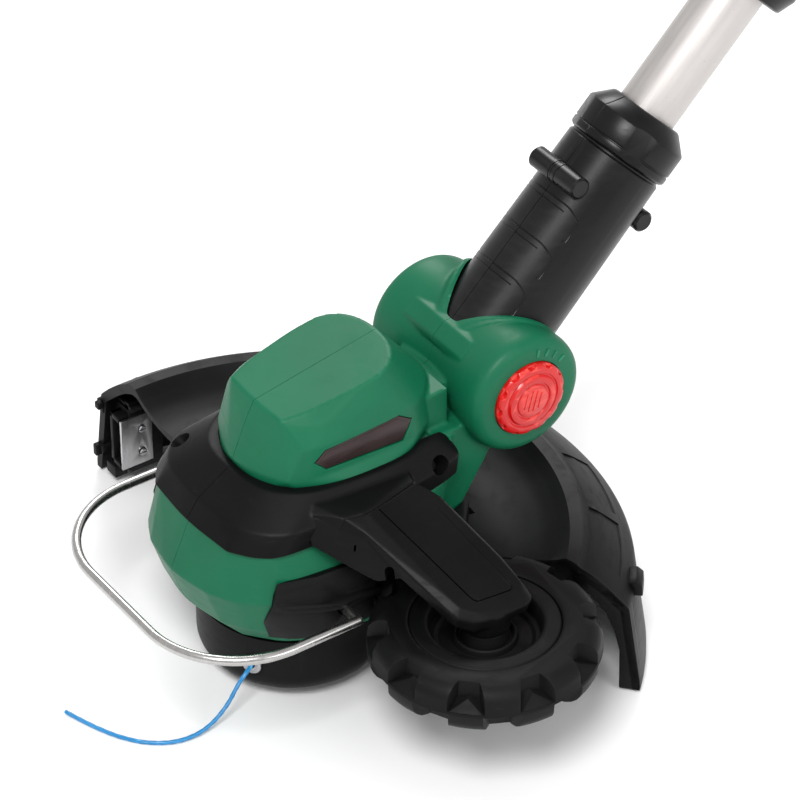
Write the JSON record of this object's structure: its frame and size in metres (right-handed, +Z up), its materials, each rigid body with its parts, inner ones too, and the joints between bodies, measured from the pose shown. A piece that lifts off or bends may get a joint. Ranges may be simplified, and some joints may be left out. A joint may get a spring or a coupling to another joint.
{
  "type": "cordless string trimmer",
  "caption": "Cordless string trimmer with a tilting motor head, edging wheel, debris guard, wire plant guard, telescopic shaft and battery handle.",
  "frame": {"origin": "centre of the bump knob's underside, on the ground under the spool axis", "axes": "+Z up along the spool axis, +Y back towards the operator, +X to the operator's left, the edging wheel's side"},
  "size_m": [0.2797, 0.7993, 0.7036],
  "materials": {
    "green_plastic": "fine moulded grain",
    "black_plastic": "fine moulded grain",
    "dark_inner_plastic": "smooth",
    "red_plastic": "glossy",
    "badge": "blank satin plate",
    "soft_grip": "soft overmould",
    "tyre": "moulded tread",
    "tube_metal": "satin anodised",
    "wire_steel": "drawn wire",
    "steel": "machined",
    "spring_steel": "drawn wire",
    "motor_steel": "plated",
    "copper_rotor": "wound rotor",
    "blue_line": "extruded nylon",
    "spool_plastic": "smooth",
    "cell_sleeve": "shrink sleeve"
  },
  "bodies": {
    "handle": {"handle_left": "green_plastic", "handle_right": "green_plastic", "handle_screws": "steel", "rear_grip_pad": "soft_grip", "upper_tube": "tube_metal", "upper_collet": "black_plastic", "switch_body": "dark_inner_plastic", "terminal_block": "dark_inner_plastic", "aux_clamp": "black_plastic", "aux_bolt": "steel", "trigger_pin": "steel", "trigger_spring": "spring_steel", "lock_spring": "spring_steel"},
    "trigger_lever": {"trigger": "red_plastic"},
    "lock_slider": {"lock_button": "black_plastic"},
    "battery": {"battery_case": "black_plastic", "battery_lid": "black_plastic", "battery_cells": "cell_sleeve", "latch_spring": "spring_steel"},
    "latch": {"battery_latch": "red_plastic"},
    "front_handle": {"aux_handle": "black_plastic", "aux_grip": "soft_grip"},
    "handle_knob": {"aux_knob": "red_plastic"},
    "upper_lock_nut": {"upper_nut": "black_plastic"},
    "shaft": {"lower_tube": "tube_metal"},
    "neck": {"sleeve_left": "black_plastic", "sleeve_right": "black_plastic", "sleeve_screws": "steel", "clamp_collet": "black_plastic"},
    "neck_nut": {"clamp_nut": "black_plastic"},
    "head": {"housing_left": "green_plastic", "housing_right": "green_plastic", "band_left": "black_plastic", "band_right": "black_plastic", "wheel_arm": "black_plastic", "badge_plate": "badge", "debris_guard": "black_plastic", "cutter_blade": "steel", "blade_screws": "steel", "housing_screws": "steel", "motor_can": "motor_steel", "motor_end_cap": "dark_inner_plastic", "motor_bearings": "steel", "wheel_axle": "steel", "pivot_cap": "green_plastic", "tilt_spring": "spring_steel"},
    "release_button": {"tilt_button": "red_plastic", "tilt_lock_gear": "steel"},
    "wheel": {"wheel_tyre": "tyre", "wheel_hub": "black_plastic"},
    "wire": {"wire_guard": "wire_steel"},
    "spool": {"spool_cap": "black_plastic", "spool_hub": "dark_inner_plastic", "line_spool": "spool_plastic", "wound_line": "blue_line", "motor_shaft": "copper_rotor", "line_eyelet": "steel", "bump_spring": "spring_steel", "trimmer_line": "blue_line"},
    "bump": {"bump_knob": "black_plastic"}
  },
  "joints": [
    {"name": "telescope", "type": "slide", "parent": "handle", "child": "shaft", "axis": [0, -0.7071, -0.7071], "range_m": [0, 0.18]},
    {"name": "upper_nut_twist", "type": "hinge", "parent": "handle", "child": "upper_lock_nut", "pos_m": [0, 0.22094, 0.24044], "axis": [0, 0.7071, 0.7071], "range_deg": [0, 90]},
    {"name": "shaft_swivel", "type": "hinge", "parent": "shaft", "child": "neck", "pos_m": [0, 0.088, 0.1075], "axis": [0, 0.7071, 0.7071], "range_deg": [0, 180]},
    {"name": "neck_nut_twist", "type": "hinge", "parent": "neck", "child": "neck_nut", "pos_m": [0, 0.16366, 0.18316], "axis": [0, 0.7071, 0.7071], "range_deg": [0, 90]},
    {"name": "head_tilt", "type": "hinge", "parent": "neck", "child": "head", "pos_m": [0, 0.088, 0.1075], "axis": [1, 0, 0], "range_deg": [0, 45]},
    {"name": "tilt_release", "type": "slide", "parent": "head", "child": "release_button", "axis": [-1, 0, 0], "range_m": [0, 0.003], "stiffness_N_per_m": 900, "deforming": ["tilt_spring"]},
    {"name": "wheel_spin", "type": "hinge", "parent": "head", "child": "wheel", "pos_m": [0.0918, 0.0284, 0.05], "axis": [0, 0, 1], "continuous": true},
    {"name": "wire_guard_flip", "type": "hinge", "parent": "head", "child": "wire", "pos_m": [0, -0.01, 0.057], "axis": [-1, 0, 0], "range_deg": [0, 65]},
    {"name": "spool_spin", "type": "hinge", "parent": "head", "child": "spool", "pos_m": [0, 0, 0.02], "axis": [0, 0, 1], "continuous": true},
    {"name": "bump_feed", "type": "slide", "parent": "spool", "child": "bump", "axis": [0, 0, 1], "range_m": [0, 0.0035], "stiffness_N_per_m": 1200, "deforming": ["bump_spring"]},
    {"name": "trigger_pull", "type": "hinge", "parent": "handle", "child": "trigger_lever", "pos_m": [0, 0.50095, 0.50914], "axis": [1, 0, 0], "range_deg": [0, 7], "stiffness_Nm_per_rad": 1.2, "deforming": ["trigger_spring"]},
    {"name": "lock_press", "type": "slide", "parent": "handle", "child": "lock_slider", "axis": [0, 0.7071, -0.7071], "range_m": [0, 0.003], "stiffness_N_per_m": 600, "deforming": ["lock_spring"]},
    {"name": "battery_out", "type": "slide", "parent": "handle", "child": "battery", "axis": [0, 0.7071, 0.7071], "range_m": [0, 0.06]},
    {"name": "latch_press", "type": "slide", "parent": "battery", "child": "latch", "axis": [0, -0.7071, 0.7071], "range_m": [0, 0.003], "stiffness_N_per_m": 900, "deforming": ["latch_spring"]},
    {"name": "front_handle_turn", "type": "hinge", "parent": "handle", "child": "front_handle", "pos_m": [0, 0.30296, 0.35923], "axis": [1, 0, 0], "range_deg": [-30, 30]},
    {"name": "knob_turn", "type": "hinge", "parent": "handle", "child": "handle_knob", "pos_m": [0.028, 0.30296, 0.35923], "axis": [1, 0, 0], "range_deg": [0, 180]}
  ]
}
